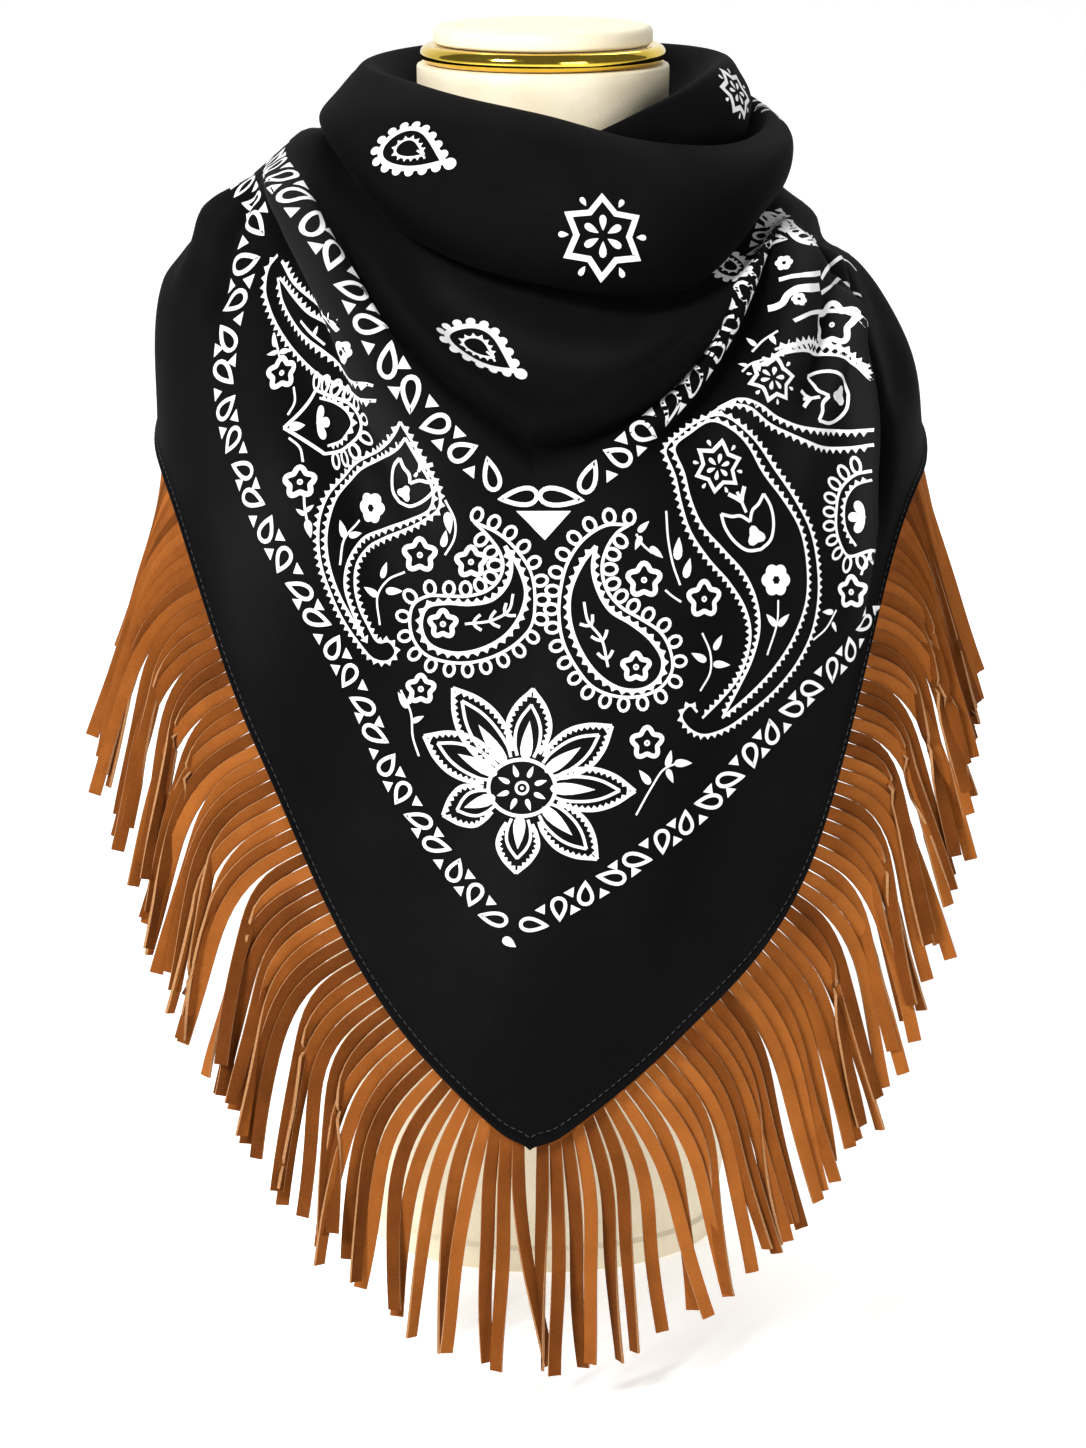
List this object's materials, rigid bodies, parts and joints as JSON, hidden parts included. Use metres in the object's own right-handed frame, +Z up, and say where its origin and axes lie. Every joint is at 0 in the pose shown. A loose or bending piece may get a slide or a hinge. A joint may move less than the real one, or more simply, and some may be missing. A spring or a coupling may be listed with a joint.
{
  "type": "fringed scarf on a neck display form",
  "caption": "Square cloth scarf folded to a point and wound as a cowl, with a cut suede fringe along its hems, on a smooth limbless neck form that stands on its base.",
  "frame": {"origin": "middle of the display form's base, on the floor", "axes": "+Z up, -Y to the front, +X to the viewer's right"},
  "size_m": [0.3936, 0.3636, 0.5753],
  "materials": {
    "black_cloth": "matt fine cotton with a white border and flower print",
    "brown_suede": "napped suede cut in strips",
    "cream_cover": "finely wrinkled satin cover over a hard shell",
    "gold": "polished"
  },
  "bodies": {
    "root": {"scarf_front": "black_cloth", "scarf_cowl": "black_cloth", "scarf_inner_turn": "black_cloth", "fringe_left": "brown_suede", "fringe_right": "brown_suede", "form_bust": "cream_cover", "form_cap": "cream_cover", "form_ring": "gold"}
  },
  "joints": []
}
